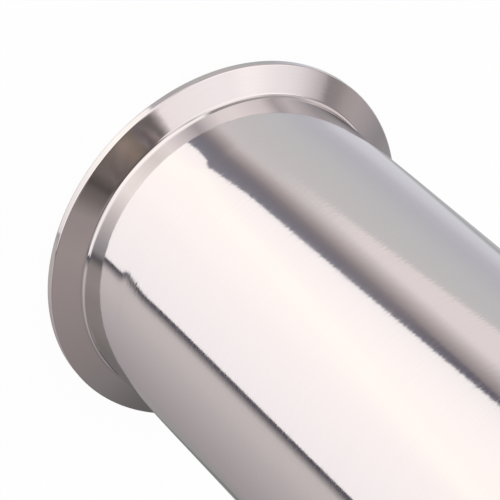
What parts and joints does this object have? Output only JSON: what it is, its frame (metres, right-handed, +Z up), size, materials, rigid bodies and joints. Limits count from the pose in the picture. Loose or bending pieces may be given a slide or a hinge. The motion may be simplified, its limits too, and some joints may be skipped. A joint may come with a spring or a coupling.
{
  "type": "sanitary spool pipe",
  "caption": "Straight stainless steel sanitary spool pipe, nominal 4 inch, with a hygienic clamp ferrule butt-welded to each end.",
  "frame": {"origin": "middle of the lower ferrule's gasket face, on the pipe's axis, at the foot of the standing pipe", "axes": "+Z up the pipe's axis to the upper ferrule; X and Y are free, because every piece is turned about Z"},
  "size_m": [0.119, 0.119, 0.3048],
  "materials": {
    "polished_stainless": "polished to a near mirror, with fine rings of polishing lines about the axis"
  },
  "bodies": {
    "root": {"tube": "polished_stainless", "lower_ferrule": "polished_stainless", "upper_ferrule": "polished_stainless", "lower_weld": "polished_stainless", "upper_weld": "polished_stainless"}
  },
  "joints": []
}
